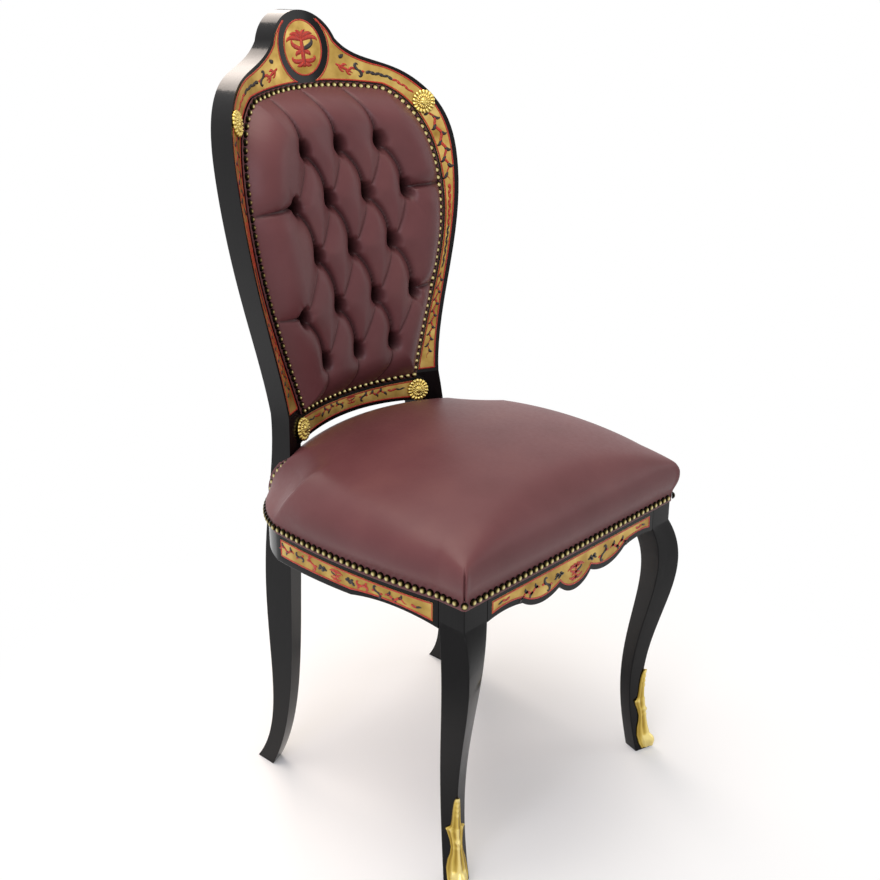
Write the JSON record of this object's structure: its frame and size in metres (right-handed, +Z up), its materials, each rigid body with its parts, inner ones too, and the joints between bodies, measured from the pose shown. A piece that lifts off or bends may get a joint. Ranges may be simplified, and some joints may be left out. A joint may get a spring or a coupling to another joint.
{
  "type": "desk chair",
  "caption": "Upright chair with cabriole front legs, a hollow tufted back under a crested frame, a domed leather seat, brass inlay and gilt mounts.",
  "frame": {"origin": "on the floor, in the middle of the chair's width and depth", "axes": "+Z up, -Y the way a sitter faces, +X to the right of a viewer who faces the chair"},
  "size_m": [0.4862, 0.5578, 1.06],
  "materials": {
    "ebonised_wood": "black polish",
    "plain_beech": "stained beech",
    "brass_inlay": "polished brass with red and black scrolls",
    "gilt_mounts": "gilt brass",
    "leather": "burgundy leather",
    "nail_brass": "antique brass",
    "webbing": "jute webbing",
    "canvas": "hessian",
    "stuffing": "curled hair"
  },
  "bodies": {
    "root": {"front_leg_left": "ebonised_wood", "front_leg_right": "ebonised_wood", "back_post_left": "ebonised_wood", "back_post_right": "ebonised_wood", "crest_rail": "ebonised_wood", "lower_back_rail": "ebonised_wood", "front_seat_rail": "ebonised_wood", "side_seat_rail_left": "ebonised_wood", "side_seat_rail_right": "ebonised_wood", "rear_seat_rail": "plain_beech", "corner_block_front_left": "plain_beech", "corner_block_front_right": "plain_beech", "corner_block_rear_left": "plain_beech", "corner_block_rear_right": "plain_beech", "crest_inlay_left": "brass_inlay", "crest_inlay_right": "brass_inlay", "medallion_inlay": "brass_inlay", "stile_inlay_left": "brass_inlay", "stile_inlay_right": "brass_inlay", "lower_rail_inlay": "brass_inlay", "front_rail_inlay": "brass_inlay", "side_rail_inlay_left": "brass_inlay", "side_rail_inlay_right": "brass_inlay", "rosette_upper_left": "gilt_mounts", "rosette_upper_right": "gilt_mounts", "rosette_lower_left": "gilt_mounts", "rosette_lower_right": "gilt_mounts", "sabot_left": "gilt_mounts", "sabot_right": "gilt_mounts", "seat_cover": "leather", "back_cover": "leather", "back_buttons": "leather", "outside_back_cover": "leather", "seat_nails_front": "nail_brass", "seat_nails_left": "nail_brass", "seat_nails_right": "nail_brass", "seat_nails_rear": "nail_brass", "back_nails": "nail_brass", "seat_webbing": "webbing", "back_webbing": "webbing", "seat_canvas": "canvas", "back_canvas": "canvas", "seat_stuffing": "stuffing", "back_stuffing": "stuffing"}
  },
  "joints": []
}
